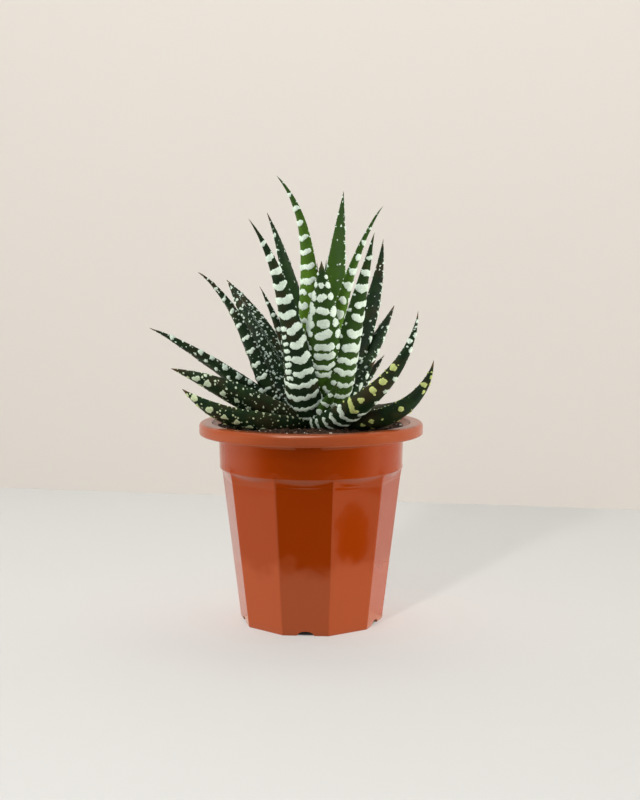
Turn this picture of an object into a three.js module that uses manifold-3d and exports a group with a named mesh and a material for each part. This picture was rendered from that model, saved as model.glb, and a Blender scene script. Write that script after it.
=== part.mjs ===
// A zebra haworthia in a ten-sided plastic nursery pot.
// Millimetres, +Z up. The origin is the middle of the pot's foot, and the front of the plant faces -Y.
// Every leaf is a solid of its own that clasps the stem. Where leaves press together at the heart of
// the rosette, the younger leaf keeps its shape and the older one is hollowed to lie round it.
import * as THREE from "three";
import { mergeVertices } from "three/addons/utils/BufferGeometryUtils.js";
import Module from "manifold-3d";

const wasm = await Module();
wasm.setup();

// Pot
const POT_HEIGHT = 90;
const WALL = 1.4;
const SIDES = 10;
const CORNER_TURN = 13.8; // degrees that one corner stands to the right of straight ahead
const ROUND_SEGMENTS = 40;
const RIM_RADIUS = 50;
const RIM_ROUNDING = 1.6;
const SKIRT_BOTTOM = 85;
const LIP_THICKNESS = 2.6;
const LIP_EASING = 0.4;
const MOUTH_RADIUS = 44.2;
const BAND_TOP_RADIUS = 41.4;
const BAND_BOTTOM_RADIUS = 40.9;
const BAND_BOTTOM = 69.8;
const BAND_TOP = 84;
const BAND_CORE = 12; // how far the turned rim reaches down inside the ten-sided body
const LEDGE_DROP = 3.4;
const BODY_TOP_CORNER = 40.7;
const FOOT_CORNER = 32.2;
const FLOOR_UNDERSIDE = 2.6;
const FLOOR_THICKNESS = 1.6;
const FOOT_WALL = 2.4;
const NOTCH_WIDTH = 7.4;
const NOTCH_HEIGHT = 2.1;
const NOTCH_COUNT = 5;
const DRAIN_RADIUS = 3;
const DRAIN_RING_RADIUS = 19;
const DRAIN_COUNT = 5;
const PAD_RADIUS = 9; // the floor's middle steps down flush with the foot
const PAD_SEGMENTS = 20;
const DRAIN_SEGMENTS = 10;
const NOTCH_REACH = 12;
const BEYOND = 1; // how far a cutting solid runs past what it cuts

// Fit between neighbouring solids
const CLEARANCE = 0.3;

// Soil
const SOIL_LEVEL = 86;
const SOIL_CROWN = 1.5; // how far the soil is heaped up round the stem
const SOIL_RINGS = 5;
const SOIL_SEGMENTS = 24;
const SOIL_LUMP = 0.4;
const HEAP_SPREAD = 16;
const SOIL_FOOT = 1;

// Stem and roots
const STEM_X = 2;
const STEM_Y = 0;
const STEM_PROFILE = [
  [0, 78],
  [5.2, 78],
  [6.6, 84],
  [7.4, 89],
  [7.2, 94],
  [6, 101],
  [4.2, 108],
  [2.2, 112],
  [0, 113],
];
const STEM_SEGMENTS = 12;
const ROOT_COUNT = 6;
const ROOT_DEPTH = 46;
const ROOT_REACH = 20;
const ROOT_STEPS = 4;
const ROOT_SIDES = 5;
const ROOT_THICKNESS = 2.1;
const ROOT_TAPER = 0.7;
const ROOT_WANDER = 0.14;
const ROOT_START = 73.7;
const ROOT_CROWN = [
  [0, 68.7],
  [3.4, 70.7],
  [5, 77.7],
  [0, 77.7],
];

// Leaves
const LEAF_START_RADIUS = 3.2; // how far from the stem's axis a leaf is rooted
const BEND_SHARE = 0.3; // where a leaf has turned from leaving the stem to its own course
const ROOT_WIDTH = 0.85; // width at the root as a share of the leaf's full width
const WIDENING = 1.5;
const OUTER_DEPTH = 0.62; // outer face's bulge as a share of the half width
const OUTER_DEPTH_TIPWARD = 0.25; // and the share that it gains by the tip
const INNER_DEPTH = 0.2;
const INNER_LEAST = 0.25;
const ARCH = 2.4; // a leaf that arches over does so mostly near its tip
const UPTURN = 1.3; // and one that turns upward does so all along
const COURSE_STEPS = 24;
const ROOM_RINGS = 10;
const ROOM_EASE = 0.2;
const ROOM_CROWDING = 1.4; // how much closer the rings of a leaf's room stand near its root
const SOIL_EASE = 0.3; // how far a leaf that rests on the soil is kept above its lumps
const SECTION = [
  // across (-1 to 1), outward (share of the outer or inner depth)
  [-1, 0],
  [-0.66, 0.78],
  [0, 1],
  [0.66, 0.78],
  [1, 0],
  [0, -1],
];
const ROOM_SECTION = [
  [-1, 0],
  [-0.6, 1],
  [0.6, 1],
  [1, 0],
  [0, -1],
];
const RIDGE_HEIGHT = 0.5;
const RIDGE_MARGIN_HEIGHT = 0.3;
const RIDGE_LEAST = 0.65; // the weakest ridge's height against the strongest
const RIDGE_FIRST = 3.4;
const RIDGE_SPACING_BASE = 3.2;
const RIDGE_SPACING_TIP = 6.6;
const RIDGE_SPACING_GROWTH = 34; // millimetres of leaf over which the spacing widens
const RIDGE_TIP_MARGIN = 6;
const RIDGE_SWEEP = 1.6; // how far the ridge's ends run on towards the tip
const SWEEP_LIMIT = 0.99; // share of the length that a swept ridge stays within

// One row for each leaf, from the youngest at the heart to the oldest on the soil:
// compass angle (0 right, -90 front) and height where it leaves the stem; its rise in degrees at the
// root, where it has bent to its own course, and at the tip; length; width; fullness (1 tapers
// straight, 2 stays broad for longer); how far its course swings round from root to tip; and its
// twist at the tip.
const LEAVES = [
  [50, 108, 84, 86, 84, 54, 8, 1.6, 0, 0],
  [-80, 107, 84, 90, 90, 54, 8, 1.6, 0, 0],
  [-118, 102, 84, 90, 40, 100, 15, 1.6, -59, 22],
  [-50, 103, 78, 73, 50, 88, 14, 1.3, 44, 0],
  [58, 101, 70, 76, 73, 96, 16, 1.8, 12, 0],
  [116, 100, 70, 73, 60, 89, 15, 1.8, 38, 0],
  [-76, 98, 45, 64, 78, 70, 20, 2.2, -26, 0],
  [-86, 91, -40, 44, 60, 32, 12, 1.6, 50, 0],
  [-105, 90, 20, 74, 49, 102, 19, 1.1, -52, 30],
  [-52, 95, 20, 72, 72, 88, 18, 1.4, 8, 0],
  [38, 97, 26, 58, 82, 88, 15, 1.8, 20, 0],
  [-143, 99, 55, 66, 54, 58, 11, 1.3, 0, 0],
  [-162, 92, -16, 69, 30, 87, 16, 1.6, 0, 0],
  [152, 94, 40, 57, 47, 74, 21, 1.8, -4, -64],
  [30, 95, 38, 46, 58, 62, 17, 1.8, 10, 0],
  [-66, 91, -6, 27, 88, 84, 21, 0.9, 60, -60],
  [-172, 92, 19, 34, 21, 81, 20, 1.3, -2, 25],
  [-42, 92, 2, 4, 86, 68, 21, 1.3, 33, -50],
  [-152, 92, 0, 25, 16, 68, 24, 1.4, -16, 60],
  [-150, 92, -6, 5, 42, 64, 22, 1.7, -6, 40],
  [90, 96, 50, 60, 62, 74, 15, 1.8, 8, 0],
  [65, 94, 30, 48, 56, 64, 15, 1.8, 0, 0],
  [125, 94, 30, 44, 48, 50, 15, 1.8, 0, 0],
  [14, 94, 20, 44, 50, 34, 14, 1.8, 0, 0],
  [95, 92, 14, 30, 42, 58, 15, 1.6, 6, 0],
  [155, 92, 10, 18, 24, 50, 14, 1.6, 0, 0],
  [45, 92, 14, 30, 40, 50, 14, 1.6, 0, 0],
  [12, 92, 4, 8, 16, 42, 14, 1.6, 0, 0],
  [70, 91.5, 0, 12, 34, 52, 14, 1.6, 0, 0],
  [120, 91.5, 0, 12, 30, 52, 14, 1.6, 0, 0],
];

const radians = THREE.MathUtils.degToRad;

// Solids and their surfaces

function solidOf(geometry) {
  const bare = geometry.index ? geometry.toNonIndexed() : geometry.clone();
  for (const name of Object.keys(bare.attributes)) {
    if (name !== "position") bare.deleteAttribute(name);
  }
  const merged = mergeVertices(bare, 1e-4);
  return new wasm.Manifold(
    new wasm.Mesh({
      numProp: 3,
      vertProperties: merged.attributes.position.array,
      triVerts: new Uint32Array(merged.index.array),
    }),
  );
}

function geometryOf(solid) {
  const mesh = solid.getMesh();
  const geometry = new THREE.BufferGeometry();
  geometry.setAttribute("position", new THREE.BufferAttribute(mesh.vertProperties, 3));
  geometry.setIndex(new THREE.BufferAttribute(mesh.triVerts, 1));
  const faceted = geometry.toNonIndexed();
  faceted.computeVertexNormals();
  return faceted;
}

function largestBody(solid) {
  return solid.decompose().reduce((a, b) => (a.volume() > b.volume() ? a : b));
}

// A solid of revolution about +Z through (x, y) from [radius, height] points, bottom first.
function turned(profile, segments, x = 0, y = 0) {
  const points = profile.map(([r, z]) => new THREE.Vector2(r, z));
  const geometry = new THREE.LatheGeometry(points, segments, radians(CORNER_TURN));
  return solidOf(geometry.rotateX(Math.PI / 2).translate(x, y, 0));
}

// A ten-sided tapering block between two heights, given its corner radius at each.
function tenSided(bottomCorner, topCorner, bottom, top) {
  const geometry = new THREE.CylinderGeometry(topCorner, bottomCorner, top - bottom, SIDES, 1);
  geometry.rotateX(Math.PI / 2).rotateZ(radians(CORNER_TURN - 90));
  return solidOf(geometry.translate(0, 0, (bottom + top) / 2));
}

function upright(radius, bottom, top, segments, x = 0, y = 0) {
  const geometry = new THREE.CylinderGeometry(radius, radius, top - bottom, segments);
  return solidOf(geometry.rotateX(Math.PI / 2).translate(x, y, (bottom + top) / 2));
}

// A closed skin over a row of rings with equal point counts, fanned to a middle point at each end.
function skin(rings, firstMiddle, lastMiddle) {
  const count = rings[0].length;
  const positions = [];
  for (const point of [firstMiddle, ...rings.flat(), lastMiddle]) {
    positions.push(point.x, point.y, point.z);
  }
  const index = [];
  const last = positions.length / 3 - 1;
  const at = (ring, k) => 1 + ring * count + (k % count);
  for (let k = 0; k < count; k++) {
    index.push(0, at(0, k + 1), at(0, k));
    index.push(last, at(rings.length - 1, k), at(rings.length - 1, k + 1));
    for (let ring = 0; ring + 1 < rings.length; ring++) {
      index.push(at(ring, k), at(ring, k + 1), at(ring + 1, k));
      index.push(at(ring, k + 1), at(ring + 1, k + 1), at(ring + 1, k));
    }
  }
  const geometry = new THREE.BufferGeometry();
  geometry.setAttribute("position", new THREE.Float32BufferAttribute(positions, 3));
  geometry.setIndex(index);
  return solidOf(geometry);
}

// Pot

const cornerSlope = (BODY_TOP_CORNER - FOOT_CORNER) / BAND_BOTTOM;
const bodyCorner = (z) => FOOT_CORNER + cornerSlope * z;
const wallCorner = WALL / Math.cos(Math.PI / SIDES);
const floorTop = FLOOR_UNDERSIDE + FLOOR_THICKNESS;

// The room inside the pot, kept `gap` clear of its walls and floor.
function potRoom(gap) {
  const inset = wallCorner + gap;
  const faceted = tenSided(
    bodyCorner(floorTop) - inset,
    bodyCorner(BAND_BOTTOM) - inset,
    floorTop + gap,
    BAND_BOTTOM,
  );
  const round = turned(
    [
      [0, BAND_BOTTOM - BAND_CORE],
      [BAND_BOTTOM_RADIUS - WALL - LEDGE_DROP - gap, BAND_BOTTOM - LEDGE_DROP - WALL],
      [BAND_BOTTOM_RADIUS - WALL - gap, BAND_BOTTOM - WALL / 2],
      [BAND_TOP_RADIUS - WALL - gap, BAND_TOP],
      [MOUTH_RADIUS - gap, POT_HEIGHT - RIM_ROUNDING / 2],
      [MOUTH_RADIUS - gap, POT_HEIGHT + BEYOND],
      [0, POT_HEIGHT + BEYOND],
    ],
    ROUND_SEGMENTS,
  );
  return faceted.add(round);
}

function makePot() {
  const body = tenSided(FOOT_CORNER, BODY_TOP_CORNER, 0, BAND_BOTTOM);
  const rim = turned(
    [
      [0, BAND_BOTTOM - BAND_CORE],
      [BAND_BOTTOM_RADIUS - LEDGE_DROP, BAND_BOTTOM - LEDGE_DROP],
      [BAND_BOTTOM_RADIUS, BAND_BOTTOM],
      [BAND_TOP_RADIUS, BAND_TOP],
      [MOUTH_RADIUS - LIP_EASING, POT_HEIGHT - LIP_THICKNESS],
      [RIM_RADIUS - WALL - LIP_EASING, POT_HEIGHT - LIP_THICKNESS],
      [RIM_RADIUS - WALL, SKIRT_BOTTOM],
      [RIM_RADIUS - LIP_EASING, SKIRT_BOTTOM],
      [RIM_RADIUS, SKIRT_BOTTOM + LIP_EASING],
      [RIM_RADIUS, POT_HEIGHT - RIM_ROUNDING],
      [RIM_RADIUS - RIM_ROUNDING, POT_HEIGHT],
      [0, POT_HEIGHT],
    ],
    ROUND_SEGMENTS,
  );
  const underside = tenSided(
    FOOT_CORNER - FOOT_WALL,
    bodyCorner(FLOOR_UNDERSIDE) - FOOT_WALL,
    -BEYOND,
    FLOOR_UNDERSIDE,
  );
  const pad = upright(PAD_RADIUS, 0, floorTop, PAD_SEGMENTS);
  let pot = body.add(rim).subtract(potRoom(0)).subtract(underside).add(pad);
  for (let i = 0; i < NOTCH_COUNT; i++) {
    const turn = radians(CORNER_TURN - 180 / SIDES - 90 + (i * 360) / NOTCH_COUNT);
    const notch = new THREE.CylinderGeometry(1, 1, NOTCH_REACH, 12);
    notch.rotateZ(Math.PI / 2).scale(1, NOTCH_WIDTH / 2, NOTCH_HEIGHT);
    notch.rotateZ(turn).translate(Math.cos(turn) * FOOT_CORNER, Math.sin(turn) * FOOT_CORNER, 0);
    pot = pot.subtract(solidOf(notch));
  }
  for (let i = 0; i < DRAIN_COUNT; i++) {
    const turn = (i * 2 * Math.PI) / DRAIN_COUNT;
    const x = DRAIN_RING_RADIUS * Math.cos(turn);
    const y = DRAIN_RING_RADIUS * Math.sin(turn);
    const hole = upright(DRAIN_RADIUS, -BEYOND, floorTop + BEYOND, DRAIN_SEGMENTS, x, y);
    pot = pot.subtract(hole);
  }
  return pot;
}

// Stem and roots

// A profile grown by `gap`: outward, and away from its middle height.
function grown(profile, gap) {
  const middle = (profile[0][1] + profile.at(-1)[1]) / 2;
  return profile.map(([r, z]) => [r > 0 ? r + gap : 0, z + (z < middle ? -gap : gap)]);
}

function makeStem(gap = 0) {
  return turned(grown(STEM_PROFILE, gap), STEM_SEGMENTS, STEM_X, STEM_Y);
}

function makeRoots(gap = 0) {
  let roots = turned(grown(ROOT_CROWN, gap), STEM_SEGMENTS, STEM_X, STEM_Y);
  for (let i = 0; i < ROOT_COUNT; i++) {
    const rings = [];
    const middles = [];
    for (let k = 0; k <= ROOT_STEPS; k++) {
      const share = k / ROOT_STEPS;
      const turn = (i * 2 * Math.PI) / ROOT_COUNT + ROOT_WANDER * Math.sin(2 * k + i);
      const reach = ROOT_REACH * Math.sin((Math.PI / 2) * share);
      const x = STEM_X + reach * Math.cos(turn);
      const y = STEM_Y + reach * Math.sin(turn);
      const z = ROOT_START - share * ROOT_DEPTH;
      const radius = ROOT_THICKNESS * (1 - ROOT_TAPER * share) + gap;
      const ring = [];
      for (let j = 0; j < ROOT_SIDES; j++) {
        const around = -(j * 2 * Math.PI) / ROOT_SIDES;
        const side = new THREE.Vector3(Math.cos(around), Math.sin(around), 0);
        ring.push(side.multiplyScalar(radius).add(new THREE.Vector3(x, y, z)));
      }
      middles.push(new THREE.Vector3(x, y, z - (k > 0 ? gap * 2 : 0)));
      rings.push(ring);
    }
    roots = roots.add(skin(rings, middles[0], middles[ROOT_STEPS]));
  }
  return roots;
}

// Soil

// Height of the soil's surface: heaped round the stem, with small lumps.
function soilHeight(x, y) {
  const away = Math.hypot(x - STEM_X, y - STEM_Y);
  const heap = SOIL_CROWN * Math.exp(-((away / HEAP_SPREAD) ** 2));
  return SOIL_LEVEL + heap + SOIL_LUMP * Math.sin(x * 0.31 + 1) * Math.cos(y * 0.27 + x * 0.12);
}

function makeSoil() {
  const ringAt = (reach, height) => {
    const ring = [];
    for (let k = 0; k < SOIL_SEGMENTS; k++) {
      const turn = (k * 2 * Math.PI) / SOIL_SEGMENTS;
      const x = reach * Math.cos(turn);
      const y = reach * Math.sin(turn);
      ring.push(new THREE.Vector3(x, y, height ?? soilHeight(x, y)));
    }
    return ring;
  };
  const rings = [ringAt(RIM_RADIUS, SOIL_FOOT), ringAt(RIM_RADIUS)];
  for (let i = SOIL_RINGS; i > 0; i--) rings.push(ringAt((i / SOIL_RINGS) * MOUTH_RADIUS));
  const foot = new THREE.Vector3(0, 0, SOIL_FOOT);
  const plug = skin(rings, foot, new THREE.Vector3(0, 0, soilHeight(0, 0)));
  const cut = makeStem(CLEARANCE).add(makeRoots(CLEARANCE));
  return largestBody(plug.intersect(potRoom(CLEARANCE)).subtract(cut));
}

// Leaves

// Repeatable scatter between 0 and 1 for leaf `i`, feature `k`.
function scatter(i, k) {
  const wave = Math.sin(i * 12.9898 + k * 78.233) * 43758.5453;
  return wave - Math.floor(wave);
}

// Places along a leaf of this length where a white ridge crosses it.
function ridgePlaces(length) {
  const places = [];
  let along = RIDGE_FIRST;
  while (along < length - RIDGE_TIP_MARGIN) {
    places.push(along);
    const grown = Math.min(1, along / RIDGE_SPACING_GROWTH);
    along += RIDGE_SPACING_BASE + (RIDGE_SPACING_TIP - RIDGE_SPACING_BASE) * grown;
  }
  return places;
}

// Middle of the leaf, its direction, its left side and its outward side, `along` millimetres up it.
function leafFrame(row, along) {
  const [azimuth, height, rootRise, bendRise, tipRise, length, , , swing, twist] = row;
  const at = new THREE.Vector3(
    STEM_X + LEAF_START_RADIUS * Math.cos(radians(azimuth)),
    STEM_Y + LEAF_START_RADIUS * Math.sin(radians(azimuth)),
    height,
  );
  const direction = new THREE.Vector3();
  let heading = 0;
  for (let k = 0; k <= COURSE_STEPS; k++) {
    const share = (k / COURSE_STEPS) * (along / length);
    const bent = share / BEND_SHARE;
    const tipward = (share - BEND_SHARE) / (1 - BEND_SHARE);
    const rise = radians(
      bent < 1
        ? bendRise + (rootRise - bendRise) * (1 - bent) ** 2
        : bendRise + (tipRise - bendRise) * tipward ** (tipRise < bendRise ? ARCH : UPTURN),
    );
    heading = radians(azimuth + swing * share);
    direction.set(
      Math.cos(rise) * Math.cos(heading),
      Math.cos(rise) * Math.sin(heading),
      Math.sin(rise),
    );
    if (k < COURSE_STEPS) at.addScaledVector(direction, along / COURSE_STEPS);
  }
  const left = new THREE.Vector3(-Math.sin(heading), Math.cos(heading), 0);
  left.applyAxisAngle(direction, radians(twist * (along / length)));
  const outward = new THREE.Vector3().crossVectors(left, direction);
  return { at, direction, left, outward };
}

// Half the leaf's width at a share of its length: round-shouldered at the root, drawn out to a point.
function halfWidth(row, share) {
  const width = row[6];
  const fullness = row[7];
  return (width / 2) * Math.min(1, ROOT_WIDTH + share * WIDENING) * (1 - share ** fullness);
}

// A cross-section of the leaf. `ridge` is the strength of the white ridge that crosses it there, and
// its ends are swept towards the tip. `gap` grows the section on every side.
function leafRing(row, along, ridge = 0, gap = 0, section = SECTION) {
  const length = row[5];
  return section.map(([across, depth]) => {
    const swept = Math.min(length * SWEEP_LIMIT, along + RIDGE_SWEEP * across * across);
    const share = Math.max(0, swept / length);
    const half = halfWidth(row, share);
    const { at, left, outward } = leafFrame(row, swept);
    const sideways = across * (half + gap + (depth === 0 ? ridge * RIDGE_MARGIN_HEIGHT : 0));
    const outer = half * (OUTER_DEPTH + OUTER_DEPTH_TIPWARD * share) + gap + ridge * RIDGE_HEIGHT;
    const inner = half * INNER_DEPTH + INNER_LEAST + gap;
    at.addScaledVector(left, sideways).addScaledVector(outward, depth * (depth > 0 ? outer : inner));
    at.z = Math.max(at.z, soilHeight(at.x, at.y) + CLEARANCE + SOIL_EASE - gap);
    return at;
  });
}

function makeLeaf(row, number) {
  const length = row[5];
  const rings = [leafRing(row, 0)];
  let before = 0;
  ridgePlaces(length).forEach((place, k) => {
    const strength = RIDGE_LEAST + (1 - RIDGE_LEAST) * scatter(number, k);
    rings.push(leafRing(row, (before + place) / 2));
    rings.push(leafRing(row, place, strength));
    before = place;
  });
  rings.push(leafRing(row, (before + length) / 2));
  return skin(rings, leafFrame(row, 0).at, leafFrame(row, length).at);
}

// The same leaf without its ridges, grown on every side: the space that its neighbours leave it.
function makeLeafRoom(row) {
  const length = row[5];
  const gap = CLEARANCE + RIDGE_HEIGHT + ROOM_EASE;
  const rings = [];
  for (let k = 0; k <= ROOM_RINGS; k++) {
    const share = (k / ROOM_RINGS) ** ROOM_CROWDING;
    rings.push(leafRing(row, share * (length + gap) - gap, 0, gap, ROOM_SECTION));
  }
  return skin(rings, leafFrame(row, -gap).at, leafFrame(row, length + gap).at);
}

function makeLeaves() {
  let taken = makeStem(CLEARANCE);
  return LEAVES.map((row, i) => {
    const leaf = largestBody(makeLeaf(row, i).subtract(taken));
    taken = taken.add(makeLeafRoom(row));
    return leaf;
  });
}

// Assembly

const plastic = new THREE.MeshStandardMaterial({ color: 0xa8401c, roughness: 0.28, metalness: 0 });
const earth = new THREE.MeshStandardMaterial({ color: 0x2a1c14, roughness: 0.95, metalness: 0 });
const woody = new THREE.MeshStandardMaterial({ color: 0x6b4a2c, roughness: 0.85, metalness: 0 });
const rootSkin = new THREE.MeshStandardMaterial({ color: 0xc9b48a, roughness: 0.8, metalness: 0 });
const leafGreen = new THREE.MeshStandardMaterial({ color: 0x1f3a1c, roughness: 0.45, metalness: 0 });

const plant = new THREE.Group();

function place(name, solid, material) {
  const mesh = new THREE.Mesh(geometryOf(solid), material);
  mesh.name = name;
  plant.add(mesh);
}

place("pot", makePot(), plastic);
place("soil", makeSoil(), earth);
place("stem", makeStem(), woody);
place("roots", makeRoots(), rootSkin);
makeLeaves().forEach((leaf, i) => {
  place("leaf_" + String(i + 1).padStart(2, "0"), leaf, leafGreen);
});

export default plant;
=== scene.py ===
# Potted zebra haworthia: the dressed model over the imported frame.
# Lengths of the part are millimetres, as in its source, and MM turns them into metres. The studio's
# lengths are metres.
import math

import bmesh
import bpy
import numpy as np
from mathutils import Matrix, Vector


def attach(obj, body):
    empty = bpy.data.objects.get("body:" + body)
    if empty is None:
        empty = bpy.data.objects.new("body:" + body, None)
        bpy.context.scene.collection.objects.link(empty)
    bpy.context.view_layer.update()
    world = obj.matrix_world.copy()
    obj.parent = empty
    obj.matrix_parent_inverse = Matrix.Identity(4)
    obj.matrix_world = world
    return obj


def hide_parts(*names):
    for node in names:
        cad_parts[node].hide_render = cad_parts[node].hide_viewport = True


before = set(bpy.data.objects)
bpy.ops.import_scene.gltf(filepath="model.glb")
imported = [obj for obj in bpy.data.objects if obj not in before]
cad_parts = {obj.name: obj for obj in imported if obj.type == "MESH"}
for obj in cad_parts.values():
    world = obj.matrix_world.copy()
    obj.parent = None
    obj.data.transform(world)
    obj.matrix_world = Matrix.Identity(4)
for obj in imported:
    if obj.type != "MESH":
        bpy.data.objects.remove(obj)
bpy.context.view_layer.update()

MM = 0.001
ROOT = "root"

# Pot
POT_HEIGHT = 90
WALL = 1.4
SIDES = 10
CORNER_TURN = 13.8
RIM_RADIUS = 50
SKIRT_BOTTOM = 85
LIP_THICKNESS = 2.6
MOUTH_RADIUS = 44.2
BAND_TOP_RADIUS = 41.4
BAND_BOTTOM_RADIUS = 40.9
BAND_BOTTOM = 69.8
BAND_TOP = 84
LEDGE_DROP = 3.4
BODY_TOP_CORNER = 40.7
FOOT_CORNER = 32.2
FLOOR_UNDERSIDE = 2.6
FLOOR_THICKNESS = 1.6
FOOT_WALL = 2.4
NOTCH_WIDTH = 7.4
NOTCH_HEIGHT = 2.1
NOTCH_COUNT = 5
DRAIN_RADIUS = 3
DRAIN_RING_RADIUS = 19
DRAIN_COUNT = 5
PAD_RADIUS = 9
LIP_ROUNDING = 1.7
MOUTH_ROUNDING = 0.9
CREASE = 38  # degrees; sharper edges of the pot stay crisp
CORNER_SHARPNESS = 320  # higher makes the pot's upright edges crisper
SHELF_BLEND = 0.9

# Soil and stem
SOIL_LEVEL = 86
SOIL_CROWN = 1.5
SOIL_LUMP = 0.4
SOIL_HEAPED = 2.2
STEM_X = 2
STEM_Y = 0
SOIL_GAP = 0.3  # between the soil and the pot's wall
CRUMBLE_SEED = 0.4
SOIL_CRUMBS = 2300
SOIL_GRIT = 420

# Leaves
LEAF_START_RADIUS = 3.2
BEND_SHARE = 0.3
OUTER_DEPTH = 0.62
OUTER_DEPTH_TIPWARD = 0.25
INNER_DEPTH = 0.2
INNER_LEAST = 0.25
ARCH = 2.4
UPTURN = 1.3
COURSE_STEPS = 24
RIDGE_FIRST = 3.4
RIDGE_SPACING_BASE = 3.2
RIDGE_SPACING_TIP = 6.6
RIDGE_SPACING_GROWTH = 34
RIDGE_TIP_MARGIN = 6
RIDGE_HEIGHT = 0.32
SHOWN_LEAVES = 20  # the leaves before this many show in the photograph and are meshed finely
FINE_MESH = (0.36, 44, 18)  # distance between rows, columns outside and columns inside
PLAIN_MESH = (0.6, 28, 12)
SECTION_DEPTH = 0.7  # usual depth of the outer face against half the width
SKIN_TEXTURE = 0.12  # depth of the skin's gentle swelling
LUMP_RAGGED = 0.26  # how far the lumps' outlines wander
LUMP_SHOULDER = 0.5  # depth inside a lump at which it reaches its full height
SECTION_ACROSS = 0.85  # below 1 squares the section's margins
SECTION_OUTWARD = 1.15  # above 1 sharpens its keels
LUMP_BLEND = 0.15
BARE = -2.0  # the lump field's value away from every lump

# compass angle, height on the stem, rise at the root, after its bend and at the tip, length, width,
# fullness, swing and twist, from the youngest leaf to the oldest
LEAVES = [
    [50, 108, 84, 86, 84, 54, 8, 1.6, 0, 0],
    [-80, 107, 84, 90, 90, 54, 8, 1.6, 0, 0],
    [-118, 102, 84, 90, 40, 100, 15, 1.6, -59, 22],
    [-50, 103, 78, 73, 50, 88, 14, 1.3, 44, 0],
    [58, 101, 70, 76, 73, 96, 16, 1.8, 12, 0],
    [116, 100, 70, 73, 60, 89, 15, 1.8, 38, 0],
    [-76, 98, 45, 64, 78, 70, 20, 2.2, -26, 0],
    [-86, 91, -40, 44, 60, 32, 12, 1.6, 50, 0],
    [-105, 90, 20, 74, 49, 102, 19, 1.1, -52, 30],
    [-52, 95, 20, 72, 72, 88, 18, 1.4, 8, 0],
    [38, 97, 26, 58, 82, 88, 15, 1.8, 20, 0],
    [-143, 99, 55, 66, 54, 58, 11, 1.3, 0, 0],
    [-162, 92, -16, 69, 30, 87, 16, 1.6, 0, 0],
    [152, 94, 40, 57, 47, 74, 21, 1.8, -4, -64],
    [30, 95, 38, 46, 58, 62, 17, 1.8, 10, 0],
    [-66, 91, -6, 27, 88, 84, 21, 0.9, 60, -60],
    [-172, 92, 19, 34, 21, 81, 20, 1.3, -2, 25],
    [-42, 92, 2, 4, 86, 68, 21, 1.3, 33, -50],
    [-152, 92, 0, 25, 16, 68, 24, 1.4, -16, 60],
    [-150, 92, -6, 5, 42, 64, 22, 1.7, -6, 40],
    [90, 96, 50, 60, 62, 74, 15, 1.8, 8, 0],
    [65, 94, 30, 48, 56, 64, 15, 1.8, 0, 0],
    [125, 94, 30, 44, 48, 50, 15, 1.8, 0, 0],
    [14, 94, 20, 44, 50, 34, 14, 1.8, 0, 0],
    [95, 92, 14, 30, 42, 58, 15, 1.6, 6, 0],
    [155, 92, 10, 18, 24, 50, 14, 1.6, 0, 0],
    [45, 92, 14, 30, 40, 50, 14, 1.6, 0, 0],
    [12, 92, 4, 8, 16, 42, 14, 1.6, 0, 0],
    [70, 91.5, 0, 12, 34, 52, 14, 1.6, 0, 0],
    [120, 91.5, 0, 12, 30, 52, 14, 1.6, 0, 0],
]

# How a leaf is marked.
# keels: where its bands part, across the outer face from -1 to 1. parted: the shares of the length
# between which they are parted there. stagger: how far the first part of each stands towards the tip,
# in spacings. beads: how many pairs of round lumps stand in for that first part. crowding: spacing
# against the usual. reach: how far bands run to the margins. sweep: how far their ends run on towards
# the tip. thick: their thickness. bare: the length at the root without them.
# blobs: columns of round lumps (across, radius, chance of each) that stand in for the bands past the
# share blobs_from. fresh: 0 dark and old, 1 bright green. yellow: how yellow the lumps are left and
# right of the first keel, between the shares of the length in yellow_span. spots: white spots a band
# place on the inner face. specks: how thickly both faces are speckled.
PLAIN_MARKS = {
    "keels": (0.0,), "parted": (0.3, 0.8), "stagger": 0.0, "beads": 0, "crowding": 1.0,
    "reach": 0.92, "sweep": 1.6, "thick": 1.0, "bare": 0, "blobs": [], "blobs_from": 0.0,
    "fresh": 0.2, "yellow": (0.0, 0.0), "yellow_span": (0.0, 1.0), "spots": 1.0, "specks": 0.15,
}
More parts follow.
